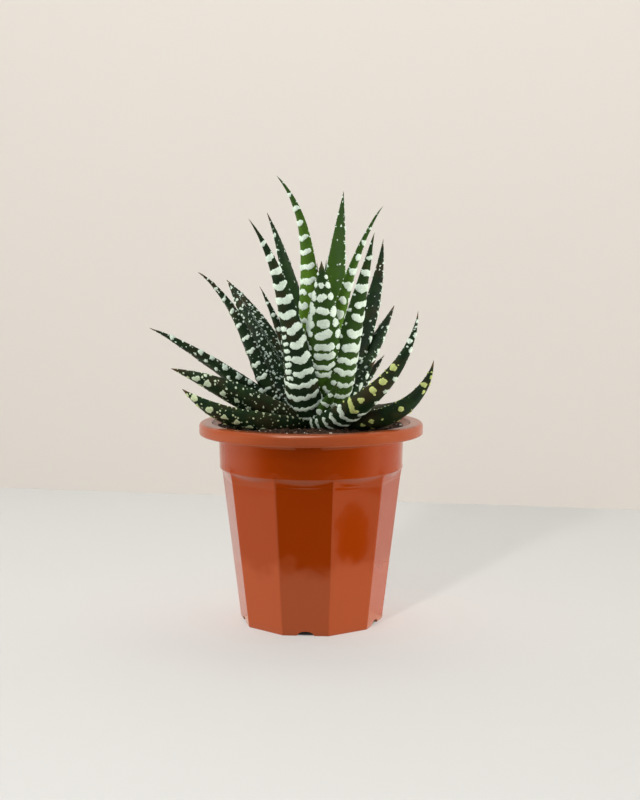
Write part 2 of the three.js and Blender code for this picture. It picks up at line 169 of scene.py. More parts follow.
MARKS = {
    1: {"fresh": 0.75, "thick": 0.8, "specks": 0.5},
    2: {"fresh": 0.75, "thick": 0.8, "specks": 0.5},
    3: {"keels": (0.25,), "parted": (0.0, 0.45), "stagger": 0.35, "fresh": 1.0, "thick": 0.85},
    4: {"keels": (-0.1,), "parted": (0.2, 0.5), "fresh": 0.9, "thick": 1.1},
    5: {"fresh": 0.8, "reach": 1.0, "spots": 2.2},
    6: {"fresh": 0.3, "reach": 1.0, "spots": 2.2},
    7: {
        "keels": (-0.42, 0.45), "parted": (0.2, 1.0), "stagger": 0.15, "reach": 1.0, "sweep": 10,
        "fresh": 0.6, "bare": 20, "thick": 1.4, "crowding": 0.8,
    },
    8: {"reach": 0.9, "sweep": 2.4, "fresh": 0.8, "thick": 0.9},
    9: {
        "keels": (-0.16,), "parted": (0.28, 0.5), "stagger": -0.3, "reach": 1.0, "sweep": 2.4,
        "fresh": 0.12, "thick": 1.05, "beads": 2,
    },
    10: {
        "keels": (-0.72,), "parted": (0.22, 0.72), "stagger": 0.25, "reach": 1.0, "sweep": 2.6,
        "fresh": 0.5, "thick": 1.15,
    },
    11: {"fresh": 0.12, "reach": 1.0, "spots": 2},
    12: {"fresh": 0.05},
    13: {
        "fresh": 0.12, "yellow": (0.3, 0.0), "parted": (0.0, 1.0), "thick": 0.55, "specks": 0.5,
        "spots": 2,
    },
    14: {"fresh": 0.1, "reach": 1.0, "spots": 3.5, "specks": 0.8},
    15: {"fresh": 0.25, "reach": 1.0, "spots": 2},
    16: {
        "keels": (0.0,), "parted": (0.3, 0.4), "reach": 0.95, "yellow": (0.9, 0.1), "fresh": 0.1,
        "yellow_span": (0.34, 0.72), "thick": 0.95, "sweep": 3.2,
        "blobs": [(-0.5, 1.3, 0.95), (0.35, 1.1, 0.95)], "blobs_from": 0.42,
    },
    17: {"fresh": 0.1, "blobs": [(0.95, 1.1, 0.9), (0.5, 0.8, 0.6)], "specks": 0.5},
    18: {
        "yellow": (0.9, 0.9), "fresh": 0.0, "specks": 0.15,
        "blobs": [(-0.45, 1.0, 0.7), (0.05, 0.8, 0.6), (0.5, 0.7, 0.5)],
    },
    19: {
        "yellow": (0.5, 0.3), "fresh": 0.0, "specks": 0.7, "spots": 2,
        "blobs": [(0.15, 1.2, 0.95), (-0.4, 0.7, 0.8)],
    },
    20: {
        "yellow": (0.7, 0.5), "fresh": 0.0, "specks": 0.6, "spots": 2,
        "blobs": [(0.3, 1.25, 0.9), (-0.3, 0.7, 0.7)],
    },
}


SCATTER_WEIGHTS = (12.9898, 78.233, 37.719, 9.151)
SCATTER_SCALE = 43758.5453


def scatter(*keys):
    """A repeatable number between 0 and 1 for these keys."""
    phase = sum(key * weight for key, weight in zip(keys, SCATTER_WEIGHTS))
    wave = math.sin(phase) * SCATTER_SCALE
    return wave - math.floor(wave)


# Materials


class Value:
    """A socket in a material's tree that takes part in sums as a number does."""

    def __init__(self, tree, socket):
        self.tree = tree
        self.socket = socket

    def math(self, operation, *others):
        return add_node(self.tree, "Math", {"operation": operation}, self, *others)["Value"]

    def __add__(self, other):
        return self.math("ADD", other)

    def __sub__(self, other):
        return self.math("SUBTRACT", other)

    def __mul__(self, other):
        return self.math("MULTIPLY", other)

    def __truediv__(self, other):
        return self.math("DIVIDE", other)

    def __pow__(self, other):
        return self.math("POWER", other)

    def __radd__(self, other):
        return self + other

    def __rmul__(self, other):
        return self * other

    def __rsub__(self, other):
        return (self * -1) + other

    def rise(self, low, high):
        """0 below low, 1 above high and smooth between them."""
        settings = {"interpolation_type": "SMOOTHSTEP"}
        return add_node(self.tree, "MapRange", settings, self, low, high)["Result"]

    def pick(self, below, above):
        """The colour between `below` at 0 and `above` at 1."""
        return mixed(self.tree, self, below, above)


class Outputs:
    """The outputs of one node, by name."""

    def __init__(self, tree, node):
        self.tree = tree
        self.node = node

    def __getitem__(self, name):
        return Value(self.tree, socket_called(self.node.outputs, name))


def socket_called(sockets, name):
    """The socket with this identifier, where an underscore may stand for a space."""
    return next(s for s in sockets if name in (s.identifier, s.identifier.replace(" ", "_")))


def feed(tree, socket, value):
    """Links a value to a socket, or sets the socket to a plain number or colour."""
    if isinstance(value, Value):
        tree.links.new(value.socket, socket)
    elif socket.type == "RGBA" and len(value) == 3:
        socket.default_value = (*value, 1)
    else:
        socket.default_value = value


def add_node(tree, kind, settings, *values, **named):
    """A shader node of this kind, its settings made and its sockets fed in order or by name."""
    node = tree.nodes.new("ShaderNode" + kind)
    for name, setting in settings.items():
        setattr(node, name, setting)
    for socket, value in zip(node.inputs, values):
        feed(tree, socket, value)
    for name, value in named.items():
        feed(tree, socket_called(node.inputs, name), value)
    return Outputs(tree, node)


def mixed(tree, factor, below, above):
    """The colour between `below` where the factor is 0 and `above` where it is 1."""
    sockets = {"Factor_Float": factor, "A_Color": below, "B_Color": above}
    return add_node(tree, "Mix", {"data_type": "RGBA"}, **sockets)["Result_Color"]


def new_material(name):
    """An empty material and its tree."""
    material = bpy.data.materials.new(name)
    material.use_nodes = True
    material.node_tree.nodes.clear()
    return material, material.node_tree


def finish_material(tree, **sockets):
    """One principled surface fed with these values, joined to the material's output."""
    surface = add_node(tree, "BsdfPrincipled", {}, **sockets)["BSDF"]
    add_node(tree, "OutputMaterial", {}, surface)


def noise(tree, place, scale, detail, roughness=0.55):
    """Smooth random relief between 0 and 1."""
    sockets = {"Vector": place, "Scale": scale, "Detail": detail, "Roughness": roughness}
    made = add_node(tree, "TexNoise", {}, **sockets)
    return Value(tree, made.node.outputs[0])


def attribute(tree, name):
    """What is stored at a leaf's points under this name."""
    return add_node(tree, "Attribute", {"attribute_name": name})


def object_place(tree):
    """The piece's own coordinates, in metres."""
    return add_node(tree, "TexCoord", {})["Object"]


def bump(tree, height, strength, distance):
    """The surface's direction, roughened by a height."""
    return add_node(tree, "Bump", {}, Strength=strength, Distance=distance, Height=height)["Normal"]


DARK_GREEN = (0.007, 0.0178, 0.008)
MID_GREEN = (0.022, 0.053, 0.009)
BRIGHT_GREEN = (0.066, 0.145, 0.010)
OLD_BROWN = (0.030, 0.022, 0.010)
DRY_TIP = (0.10, 0.055, 0.030)
BAND_WHITE = (0.57, 0.69, 0.62)
BAND_YELLOW = (0.43, 0.49, 0.14)


def leaf_material():
    """Waxy green skin with raised white bands, spots and specks."""
    material, tree = new_material("leaf_skin")
    place = attribute(tree, "leaf_place")["Vector"]
    tone = add_node(tree, "SeparateXYZ", {}, attribute(tree, "leaf_tone")["Vector"])
    fresh, yellow, specked = tone["X"], tone["Y"], tone["Z"]
    lump = attribute(tree, "leaf_lump")["Fac"]
    to_tip = attribute(tree, "leaf_to_tip")["Fac"]
    world = object_place(tree)
    mottle = noise(tree, world, 260, 4)
    fine = noise(tree, world, 1500, 3)
    patches = noise(tree, world, 90, 2)

    green = fresh.rise(0.1, 0.55).pick(DARK_GREEN, MID_GREEN)
    green = (fresh * (0.6 + 0.7 * patches)).rise(0.45, 1.0).pick(green, BRIGHT_GREEN)
    green = (mottle.rise(0.4, 0.8) * 0.35).pick(green, MID_GREEN)
    aged = (patches - fresh * 0.6).rise(0.42, 0.7) * 0.7
    green = aged.pick(green, OLD_BROWN)
    near_tip = 1.0 - (to_tip + (mottle - 0.5) * 4).rise(1.0, 4.5)
    dry = near_tip * (0.85 - fresh * 1.8).math("MAXIMUM", 0.0)
    green = dry.pick(green, DRY_TIP)

    ragged = fine - 0.5 + (mottle - 0.5) * 0.4
    white = (lump + ragged).rise(-0.06, 0.12)
    chalk = (fine * 0.35 + mottle * 0.4).rise(0.2, 0.6)
    band_colour = yellow.pick(BAND_WHITE, BAND_YELLOW)
    band_colour = (0.4 - chalk * 0.4).pick(band_colour, MID_GREEN)

    cells = add_node(tree, "TexVoronoi", {}, Vector=place, Scale=0.75, Randomness=1.0)
    chance = add_node(tree, "SeparateColor", {}, cells["Color"])["Red"]
    radius = (chance - (1.0 - specked)).math("MAXIMUM", 0.0) * 0.65
    speck = (radius - cells["Distance"]).rise(-0.03, 0.05)
    white = white.math("MAXIMUM", speck)

    relief = fine * 0.25 + speck * 0.6 + mottle * 0.4
    finish_material(
        tree,
        Base_Color=white.pick(green, band_colour),
        Roughness=0.42 + fine * 0.16 + white * 0.1,
        Normal=bump(tree, relief, 0.3, 0.0004),
        Specular_IOR_Level=0.1,
    )
    return material


POT_DEEP = (0.19, 0.0215, 0.0002)
POT_BRIGHT = (0.228, 0.028, 0.0004)
POT_PAINTED_REFLECTION = (0.31, 0.068, 0.023)
POT_PAINTED_SHEEN = (0.23, 0.057, 0.022)
POT_GLINT = (1, 0.78, 0.60)


def pot_material():
    """Glossy orange-brown moulded plastic, paler and rougher near its foot and on its lip; the paler
    colour near the foot is a painted reflection of the bright floor, and on the lip a painted sheen.
    """
    material, tree = new_material("pot_plastic")
    world = object_place(tree)
    height = add_node(tree, "SeparateXYZ", {}, world)["Z"]
    cloud = noise(tree, world, 22, 2)
    wave = noise(tree, world, 60, 2)
    speck = noise(tree, world, 1800, 2)
    # Paler and rougher near the foot, with a wavy edge; the paler colour is a painted reflection of the
    # bright floor.
    painted_lower_reflection = 1.0 - (height + (wave - 0.5) * 0.026).rise(0.027, 0.034)
    colour = cloud.pick(POT_DEEP, POT_BRIGHT)
    colour = (painted_lower_reflection * 0.35).pick(colour, POT_PAINTED_REFLECTION)
    # Paler and rougher on the lip; the paler colour is a painted sheen.
    painted_lip_sheen = (height + (wave - 0.5) * 0.002).rise(0.084, 0.0855)
    colour = (painted_lip_sheen * 0.6).pick(colour, POT_PAINTED_SHEEN)
    finish_material(
        tree,
        Base_Color=colour,
        Roughness=0.06 + cloud * 0.05 + painted_lower_reflection * 0.08 + painted_lip_sheen * 0.14 + speck * 0.02,
        Normal=bump(tree, wave + speck * 0.02, 0.15, 0.001),
        Specular_IOR_Level=0.55,
        Specular_Tint=POT_GLINT,
    )
    return material


SOIL_DARK = (0.012, 0.008, 0.006)
SOIL_BROWN = (0.062, 0.032, 0.017)
SOIL_CHIP = (0.15, 0.085, 0.045)


def soil_material():
    """Dark, damp potting mix."""
    material, tree = new_material("soil_mix")
    world = object_place(tree)
    coarse = noise(tree, world, 320, 4, 0.65)
    fine = noise(tree, world, 1900, 4, 0.7)
    colour = coarse.rise(0.35, 0.7).pick(SOIL_DARK, SOIL_BROWN)
    colour = (fine.rise(0.58, 0.78) * 0.6).pick(colour, SOIL_CHIP)
    finish_material(
        tree,
        Base_Color=colour,
        Roughness=0.8 + fine * 0.2,
        Normal=bump(tree, coarse + fine, 0.9, 0.0008),
        Specular_IOR_Level=0.25,
    )
    return material


GRIT_BROWN = (0.075, 0.040, 0.022)
GRIT_PALE = (0.62, 0.58, 0.50)
GRIT_STAIN = (0.16, 0.10, 0.06)


def grit_material():
    """Pale grit and perlite, each grain of its own shade."""
    material, tree = new_material("pale_grit")
    grain = add_node(tree, "NewGeometry", {})["Random Per Island"]
    fine = noise(tree, object_place(tree), 2600, 3)
    colour = grain.rise(0.25, 0.95).pick(GRIT_BROWN, GRIT_PALE)
    colour = (fine.rise(0.4, 0.8) * 0.4).pick(colour, GRIT_STAIN)
    finish_material(
        tree, Base_Color=colour, Roughness=0.75 + fine * 0.2, Normal=bump(tree, fine, 0.5, 0.0003)
    )
    return material


def fibre_material(name, dark, pale, scale):
    """Matte plant fibre, streaked between two colours."""
    material, tree = new_material(name)
    streak = noise(tree, object_place(tree), scale, 5, 0.6)
    finish_material(
        tree,
        Base_Color=streak.rise(0.3, 0.7).pick(dark, pale),
        Roughness=0.7 + streak * 0.25,
        Normal=bump(tree, streak, 0.5, 0.0005),
    )
    return material


STAGE_CLOUD = (0.5, 0.48, 0.45)
PAINTED_SHADE_UNDER_POT = (0.02, 0.018, 0.016)
PAINTED_SHADE_EDGE = (0.028, 0.0305)  # where the painted shade under the pot ends, just inside the edge of the pot's foot


def stage_material(name, colour, roughness):
    """Plain studio floor or wall, with painted shade where the pot stands on it."""
    material, tree = new_material(name)
    cloud = noise(tree, object_place(tree), 3, 2)
    shade = (cloud * 0.06).pick(colour, STAGE_CLOUD)
    place = add_node(tree, "SeparateXYZ", {}, object_place(tree))
    x, y, z = place["X"], place["Y"], place["Z"]
    from_pot = (x * x + y * y + z * z) ** 0.5
    # Painted shade on the floor under the pot's foot.
    shade = from_pot.rise(*PAINTED_SHADE_EDGE).pick(PAINTED_SHADE_UNDER_POT, shade)
    finish_material(tree, Base_Color=shade, Roughness=roughness, Specular_IOR_Level=0.2)
    return material


# Meshes


def mesh_object(name, points, faces, material):
    """A new object from points in metres and index faces."""
    mesh = bpy.data.meshes.new(name)
    mesh.from_pydata(np.asarray(points).tolist(), [], faces)
    mesh.validate()
    mesh.materials.append(material)
    mesh.shade_smooth()
    made = bpy.data.objects.new(name, mesh)
    bpy.context.collection.objects.link(made)
    return made


def tube_faces(rows, columns, first, last):
    """Faces of a grid that closes round its columns, fanned to the points `first` and `last`."""
    faces = []
    for i in range(rows - 1):
        for j in range(columns):
            a = i * columns + j
            b = i * columns + (j + 1) % columns
            faces.append((a, b, b + columns, a + columns))
    end = (rows - 1) * columns
    for j in range(columns):
        faces.append((first, (j + 1) % columns, j))
        faces.append((last, end + j, end + (j + 1) % columns))
    return faces


def belongs(piece, slot, *nodes):
    """Places a piece on the one body and lets it stand for its CAD nodes; the slot is not used."""
    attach(piece, ROOT)
    if nodes:
        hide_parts(*nodes)
    return piece


# Pot


def pot_corner(height):
    """Distance from the pot's axis to an upright edge, at this height."""
    return FOOT_CORNER + (BODY_TOP_CORNER - FOOT_CORNER) * height / BAND_BOTTOM


def ten_sided(turns, corner):
    """Radius of a ten-sided outline with eased corners at each of these turns."""
    flat = corner * math.cos(math.pi / SIDES)
    total = np.zeros_like(turns)
    for k in range(SIDES):
        facing = math.radians(CORNER_TURN - 90 + 180 / SIDES + k * 360 / SIDES)
        total += np.maximum(np.cos(turns - facing), 0) ** CORNER_SHARPNESS
    return flat * total ** (-1 / CORNER_SHARPNESS)


def soft_greater(a, b, blend):
    """The greater of two lengths, eased where they meet."""
    return (a + b + np.sqrt((a - b) ** 2 + blend**2)) / 2


def pot_turns():
    """Turns round the pot, set close together at the upright edges."""
    half = 180 / SIDES
    near = np.array([0, 0.25, 0.5, 0.8, 1.2, 1.8, 2.8, 4.2, 6, 8, 10.5, 13, 15.5, half])
    side = np.concatenate([near, 2 * half - near[-2:0:-1]])
    corners = CORNER_TURN - 90 + 2 * half * np.arange(SIDES)
    return np.radians((corners[:, None] + side[None]).ravel())


def rounded_corner(corner_r, corner_z, radius, start, end, steps):
    """Points round a quarter, from the angle `start` to `end` in degrees, about a point."""
    turns = np.radians(np.linspace(start, end, steps))
    return [(corner_r + radius * math.cos(t), corner_z + radius * math.sin(t)) for t in turns]


def pot_rows():
    """The pot's wall as rows of radii and heights: up the outside, over the rim, down the inside."""
    turns = pot_turns()
    level = np.ones_like(turns)
    rows = []

    def add(radius, height):
        rows.append((radius * level, height * level))

    foot = ten_sided(turns, FOOT_CORNER)
    rows.append((foot - FOOT_WALL, 0 * level))
    rows.append((foot - 0.5, 0 * level))
    rows.append((foot - 0.15, 0.12 * level))
    for z in np.concatenate([np.linspace(0.5, 60, 20), np.linspace(61, BAND_BOTTOM - 4, 5)]):
        rows.append((ten_sided(turns, pot_corner(z)), z * level))
    for z in np.linspace(BAND_BOTTOM - LEDGE_DROP - 0.4, BAND_BOTTOM + 0.6, 26):
        band = BAND_BOTTOM_RADIUS + min(0, z - BAND_BOTTOM)
        body = ten_sided(turns, min(pot_corner(z), pot_corner(BAND_BOTTOM)))
        rows.append((soft_greater(body, band, SHELF_BLEND), z * level))
    for z in np.linspace(BAND_BOTTOM + 1.2, BAND_TOP, 6):
        share = (z - BAND_BOTTOM) / (BAND_TOP - BAND_BOTTOM)
        add(BAND_BOTTOM_RADIUS + (BAND_TOP_RADIUS - BAND_BOTTOM_RADIUS) * share, z)
    under = POT_HEIGHT - LIP_THICKNESS
    add(BAND_TOP_RADIUS + 0.7, BAND_TOP + 1)
    add(MOUTH_RADIUS - 0.9, under - 0.6)
    add(MOUTH_RADIUS + 0.2, under)
    add(RIM_RADIUS - WALL - 1.2, under)
    add(RIM_RADIUS - WALL - 0.4, under - 0.4)
    add(RIM_RADIUS - WALL, SKIRT_BOTTOM + 0.5)
    for r, z in rounded_corner(RIM_RADIUS - WALL / 2, SKIRT_BOTTOM + 0.4, WALL / 2, -170, -10, 6):
        add(r, z - 0.1)
    add(RIM_RADIUS, SKIRT_BOTTOM + 1)
    add(RIM_RADIUS, (SKIRT_BOTTOM + POT_HEIGHT) / 2)
    outer_r = RIM_RADIUS - LIP_ROUNDING
    outer_z = POT_HEIGHT - LIP_ROUNDING
    for r, z in rounded_corner(outer_r, outer_z, LIP_ROUNDING, 5, 88, 9):
        add(r, z)
    add(RIM_RADIUS - 3.8, POT_HEIGHT)
    mouth_edge = POT_HEIGHT - MOUTH_ROUNDING
    for r, z in rounded_corner(MOUTH_RADIUS + MOUTH_ROUNDING, mouth_edge, MOUTH_ROUNDING, 92, 178, 6):
        add(r, z)
    inner = BAND_TOP_RADIUS - WALL
    for share in np.linspace(0.15, 1, 6):
        add(MOUTH_RADIUS + (inner - MOUTH_RADIUS) * share, mouth_edge + (BAND_TOP - mouth_edge) * share)
    for z in np.linspace(BAND_TOP - 2, BAND_BOTTOM, 4):
        add(BAND_BOTTOM_RADIUS - WALL, z)
    rim_wall = WALL / math.cos(math.pi / SIDES)
    floor_top = FLOOR_UNDERSIDE + FLOOR_THICKNESS
    for z in np.linspace(BAND_BOTTOM - LEDGE_DROP - WALL, floor_top, 6):
        rows.append((ten_sided(turns, pot_corner(z) - rim_wall), z * level))
    for share in (0.6, 0.3):
        rows.append((ten_sided(turns, pot_corner(floor_top) - rim_wall) * share, floor_top * level))
    return turns, rows


def pot_underside(turns):
    """The recess under the pot's floor, from the foot's inner edge in to the pad."""
    level = np.ones_like(turns)
    inner = ten_sided(turns, FOOT_CORNER) - FOOT_WALL
    return [
        (PAD_RADIUS * 0.5 * level, 0 * level),
        (PAD_RADIUS * level, 0 * level),
        (PAD_RADIUS * level, FLOOR_UNDERSIDE * level),
        ((PAD_RADIUS + 8) * level, FLOOR_UNDERSIDE * level),
        (inner, FLOOR_UNDERSIDE * level),
    ]


def cutter(name, radius, depth, place, turn=0.0, lying=False):
    """A round bar used to cut the pot; it is removed afterwards."""
    mesh = bpy.data.meshes.new(name)
    shape = bmesh.new()
    bmesh.ops.create_cone(
        shape, cap_ends=True, segments=32, radius1=radius, radius2=radius, depth=depth
    )
    if lying:
        bmesh.ops.rotate(shape, verts=shape.verts, matrix=rotation(math.pi / 2, "Y"))
        bmesh.ops.scale(shape, vec=(1, NOTCH_WIDTH / 2 / NOTCH_HEIGHT, 1), verts=shape.verts)
        bmesh.ops.rotate(shape, verts=shape.verts, matrix=rotation(turn, "Z"))
    bmesh.ops.translate(shape, vec=place, verts=shape.verts)
    shape.to_mesh(mesh)
    shape.free()
    made = bpy.data.objects.new(name, mesh)
    bpy.context.collection.objects.link(made)
    return made


def rotation(angle, axis):
    """A turn by an angle in radians about one axis."""
    return Matrix.Rotation(angle, 3, axis)


def cut(piece, cutters):
    """Takes the cutters out of a piece and removes them."""
    for tool in cutters:
        modifier = piece.modifiers.new("cut", "BOOLEAN")
        modifier.operation = "DIFFERENCE"
        modifier.solver = "MANIFOLD"
        modifier.object = tool
    graph = bpy.context.evaluated_depsgraph_get()
    mesh = bpy.data.meshes.new_from_object(piece.evaluated_get(graph))
    piece.modifiers.clear()
    piece.data = mesh
    for tool in cutters:
        bpy.data.objects.remove(tool)


def build_pot(material):
    """The pot's moulding, with its drain holes and the notches in its foot cut out."""
    turns, rows = pot_rows()
    rows = pot_underside(turns) + rows
    columns = len(turns)
    points = []
    for radius, height in rows:
        points.append(np.stack([radius * np.cos(turns), radius * np.sin(turns), height], 1))
    points = np.concatenate(points)
    floor_top = FLOOR_UNDERSIDE + FLOOR_THICKNESS
    points = np.concatenate([points, [[0, 0, 0], [0, 0, floor_top]]]) * MM
    faces = tube_faces(len(rows), columns, len(points) - 2, len(points) - 1)
    pot = mesh_object("pot_moulding", points, faces, material)
    cutters = []
    for i in range(DRAIN_COUNT):
        turn = i * 2 * math.pi / DRAIN_COUNT
        place = Vector((math.cos(turn), math.sin(turn), 0)) * DRAIN_RING_RADIUS * MM
        cutters.append(cutter(f"drain_{i}", DRAIN_RADIUS * MM, 20 * MM, place))
    for i in range(NOTCH_COUNT):
        turn = math.radians(CORNER_TURN - 180 / SIDES - 90 + i * 360 / NOTCH_COUNT)
        place = Vector((math.cos(turn), math.sin(turn), 0)) * FOOT_CORNER * MM
        cutters.append(cutter(f"notch_{i}", NOTCH_HEIGHT * MM, 12 * MM, place, turn, True))
    cut(pot, cutters)
    pot.data.shade_smooth()
    pot.data.set_sharp_from_angle(angle=math.radians(CREASE))
    return belongs(pot, "pot_plastic", "pot")


# Soil


def soil_height(x, y):
    """Height of the soil's surface, as in the part."""
    away = np.hypot(x - STEM_X, y - STEM_Y)
    heap = SOIL_CROWN * np.exp(-((away / 16) ** 2))
    return SOIL_LEVEL + heap + SOIL_LUMP * np.sin(x * 0.31 + 1) * np.cos(y * 0.27 + x * 0.12)


def heaped_height(x, y):
    """Height of the loose crumbs, which lie higher towards the pot's wall."""
    away = np.clip((np.hypot(x - STEM_X, y - STEM_Y) - 8) / 14, 0, 1)
    return soil_height(x, y) + SOIL_HEAPED * away * away * (3 - 2 * away)


def ripple(x, y, seed):
    """Rough natural relief between about -1 and 1, from a few crossed waves."""
    total = 0
    for k in range(6):
        turn = 2.4 * k + seed
        pitch = 0.9 * 1.55**k
        along = x * math.cos(turn) + y * math.sin(turn)
        across = y * math.cos(turn) - x * math.sin(turn)
        total = total + np.sin(along * pitch + 1.7 * np.sin(across * pitch * 0.6 + k)) / 1.35**k
    return total / 2.6


def build_soil(material):
    """The plug of soil, with a crumbly top."""
    columns = 220
    turns = np.linspace(0, 2 * math.pi, columns, endpoint=False)
    mouth = BAND_TOP_RADIUS - WALL - SOIL_GAP
    slope = (MOUTH_RADIUS - SOIL_GAP - mouth) / (POT_HEIGHT - BAND_TOP)
    edge = mouth + slope * (SOIL_LEVEL - BAND_TOP)
    floor_top = FLOOR_UNDERSIDE + FLOOR_THICKNESS + SOIL_GAP
    rim_wall = WALL / math.cos(math.pi / SIDES) + SOIL_GAP
    points = []
    for z in np.linspace(floor_top, BAND_BOTTOM - LEDGE_DROP - WALL - 1, 5):
        radius = ten_sided(turns, pot_corner(z) - rim_wall)
        points.append(np.stack([radius * np.cos(turns), radius * np.sin(turns), z + 0 * turns], 1))
    for z in (BAND_BOTTOM, BAND_TOP - 1):
        radius = BAND_BOTTOM_RADIUS - WALL - SOIL_GAP
        points.append(np.stack([radius * np.cos(turns), radius * np.sin(turns), z + 0 * turns], 1))
    for share in 1 - np.linspace(0, 1, 74, endpoint=False) ** 1.15:
        x = edge * share * np.cos(turns)
        y = edge * share * np.sin(turns)
        crumble = 0.55 * ripple(x, y, CRUMBLE_SEED) * (0.3 + 0.7 * min(1, (1 - share) * 12))
        points.append(np.stack([x, y, heaped_height(x, y) + crumble], 1))
    rows = len(points)
    points = np.concatenate(points)
    ends = [[0, 0, floor_top], [0, 0, heaped_height(0.0, 0.0)]]
    points = np.concatenate([points, ends]) * MM
    faces = tube_faces(rows, columns, len(points) - 2, len(points) - 1)
    return belongs(mesh_object("soil_surface", points, faces, material), "soil", "soil")


def grain_shape(seed):
    """A lumpy grain about one unit across."""
    shape = bmesh.new()
    bmesh.ops.create_icosphere(shape, subdivisions=1, radius=0.5)
    points = np.array([v.co[:] for v in shape.verts])
    faces = [tuple(v.index for v in f.verts) for f in shape.faces]
    shape.free()
    rough = 1 + 0.35 * np.sin(points @ np.array([5.1, 3.3, 4.4]) * 2 + seed)
    return points * rough[:, None], faces


def build_grains(name, count, sizes, material, slot, seed):
    """Loose grains scattered over the soil, more of them near the pot's wall."""
    draw = np.random.default_rng(seed)
    points = []
    faces = []
    used = 0
    for i in range(count):
        shape, grain_faces = grain_shape(i)
        turn = draw.uniform(0, 2 * math.pi)
        reach = (MOUTH_RADIUS - 3.4) * draw.uniform(0.05, 1) ** 0.42
        x = reach * math.cos(turn)
        y = reach * math.sin(turn)
        size = draw.uniform(*sizes) * (0.6 + 0.9 * draw.random() ** 3)
        squash = np.array([1, draw.uniform(0.5, 1), draw.uniform(0.35, 0.8)])
        spin = draw.uniform(0, 2 * math.pi)
        tilt = draw.normal(0, 0.5)
        turned = shape * size * squash
        turned = turned @ np.array(rotation(spin, "Z")).T @ np.array(rotation(tilt, "X")).T
        height = heaped_height(x, y) + 0.35 * ripple(x, y, CRUMBLE_SEED) + size * 0.12
        points.append(turned + [x, y, height])
        faces += [tuple(used + v for v in face) for face in grain_faces]
        used += len(shape)
    made = mesh_object(name, np.concatenate(points) * MM, faces, material)
    return belongs(made, slot)


# Leaves


def leaf_course(row, along):
    """Middle, direction, left and outward side of a leaf at each distance in `along`."""
    azimuth, height, root_rise, bend_rise, tip_rise, length, _, _, swing, twist = row
    start = np.array([
        STEM_X + LEAF_START_RADIUS * math.cos(math.radians(azimuth)),
        STEM_Y + LEAF_START_RADIUS * math.sin(math.radians(azimuth)),
        height,
    ])
    step = np.arange(COURSE_STEPS + 1) / COURSE_STEPS
    share = step[None] * (along / length)[:, None]
    bent = np.clip(share / BEND_SHARE, None, 1)
    tipward = np.clip((share - BEND_SHARE) / (1 - BEND_SHARE), 0, None)
    curl = ARCH if tip_rise < bend_rise else UPTURN
    rise = bend_rise + (root_rise - bend_rise) * (1 - bent) ** 2
    rise = np.radians(rise + (tip_rise - bend_rise) * tipward**curl)
    heading = np.radians(azimuth + swing * share)
    way = np.stack(
        [np.cos(rise) * np.cos(heading), np.cos(rise) * np.sin(heading), np.sin(rise)], -1
    )
    middle = start + way[:, :-1].sum(1) * (along / COURSE_STEPS)[:, None]
    direction = way[:, -1]
    turn = heading[:, -1]
    left = np.stack([-np.sin(turn), np.cos(turn), 0 * turn], -1)
    roll = np.radians(twist * along / length)[:, None]
    left = left * np.cos(roll) + np.cross(direction, left) * np.sin(roll)
    return middle, direction, left, np.cross(left, direction)


def half_width(row, share):
    """Half the leaf's width at a share of its length."""
    width = row[6]
    fullness = row[7]
    return (width / 2) * np.minimum(1, 0.85 + share * 1.5) * (1 - share**fullness)


def ridge_places(length, crowding=1.0):
    """Where the white bands cross a leaf of this length."""
    places = []
    along = RIDGE_FIRST
    while along < length - RIDGE_TIP_MARGIN:
        places.append(along)
        grown = min(1, along / RIDGE_SPACING_GROWTH)
        spacing = RIDGE_SPACING_BASE + (RIDGE_SPACING_TIP - RIDGE_SPACING_BASE) * grown
        along += spacing * crowding
    return places


def section_columns(outer_count, inner_count):
    """Across and outward (-1 to 1) round a leaf's cross-section, and the way round it from its keel.

    The way round is for a leaf 1 wide each side of its keel. It grows past the margin onto the inner
    face, so the two faces lie side by side when it is unrolled.
    """
    outer = np.linspace(math.pi, 0, outer_count, endpoint=False)
    inner = np.linspace(0, -math.pi, inner_count, endpoint=False)
    turns = np.concatenate([outer, inner])
    across = np.sign(np.cos(turns)) * np.abs(np.cos(turns)) ** SECTION_ACROSS
    outward = np.sign(np.sin(turns)) * np.abs(np.sin(turns)) ** SECTION_OUTWARD
    fine = np.linspace(0, math.pi / 2, 200)
    rise = np.sin(fine) ** SECTION_OUTWARD
    path = np.stack([np.cos(fine) ** SECTION_ACROSS, SECTION_DEPTH * rise], 1)
    steps = np.hypot(*np.diff(path, axis=0).T)
    from_margin = np.concatenate([[0], np.cumsum(steps)])
    margin = from_margin[-1]
    on_outer = margin - np.interp(np.abs(outward), rise, from_margin)
    on_inner = margin + 1 - np.abs(across)
    round_way = np.where(outward >= 0, on_outer, on_inner) * np.sign(across + 1e-9)
    return across, outward, round_way, margin


def leaf_lumps(number, row, marks, margin):
    """The raised white lumps of a leaf: (way round per half width, distance along, radius)."""
    length = row[5]
    places = ridge_places(length, marks["crowding"])
    places.append(places[-1] + RIDGE_SPACING_TIP)
    lumps = []
    for k, place in enumerate(places[:-1]):
        spacing = places[k + 1] - place
        if marks["blobs"] and place / length >= marks["blobs_from"]:
            lumps += blob_lumps(number, k, row, place, spacing, marks, margin)
        elif place >= marks["bare"]:
            lumps += band_lumps(number, k, row, place, spacing, marks, margin)
        for i in range(int(marks["spots"] + scatter(number, k, 31))):
            side = 1 if scatter(number, k, i, 32) > 0.5 else -1
            way = side * (margin + 0.95 * scatter(number, k, i, 33))
            wander = spacing * (scatter(number, k, i, 34) - 0.5)
            lumps.append((way, place + wander, 0.32 + 0.45 * scatter(number, k, i, 35) ** 2))
    return lumps + tooth_lumps(number, length, margin)


